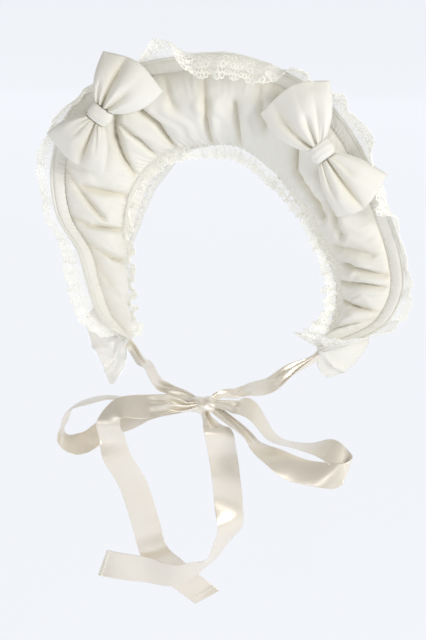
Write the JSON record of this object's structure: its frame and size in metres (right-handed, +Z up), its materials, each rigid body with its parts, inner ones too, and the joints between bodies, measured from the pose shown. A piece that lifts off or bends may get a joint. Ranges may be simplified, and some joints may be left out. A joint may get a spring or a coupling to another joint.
{
  "type": "half bonnet",
  "caption": "Ivory half bonnet with a padded, gathered brim, lace ruffles, cloth bows and satin ribbon ties knotted in a bow under the chin.",
  "frame": {"origin": "inside top of the opening for the head, on the seam where the brim meets the half crown", "axes": "+Z up, -Y out of the front where the face looks out, +X to the right as seen from the front"},
  "size_m": [0.3487, 0.1883, 0.4901],
  "materials": {
    "ivory_cotton": "matt plain-woven cotton, padded and gathered",
    "ivory_lace": "fine scalloped net lace",
    "ivory_satin": "smooth satin ribbon with a soft sheen"
  },
  "bodies": {
    "root": {"brim_lining": "ivory_cotton", "rim_band": "ivory_cotton", "rim_piping": "ivory_cotton", "brim_back": "ivory_cotton", "crown_band": "ivory_cotton", "outer_lace": "ivory_lace", "inner_lace": "ivory_lace", "left_bow_upper_loop": "ivory_cotton", "left_bow_lower_loop": "ivory_cotton", "left_bow_knot": "ivory_cotton", "right_bow_upper_loop": "ivory_cotton", "right_bow_lower_loop": "ivory_cotton", "right_bow_knot": "ivory_cotton", "left_strap": "ivory_satin", "right_strap": "ivory_satin", "chin_knot": "ivory_satin", "left_chin_loop": "ivory_satin", "right_chin_loop": "ivory_satin", "left_tail": "ivory_satin", "right_tail": "ivory_satin"}
  },
  "joints": []
}
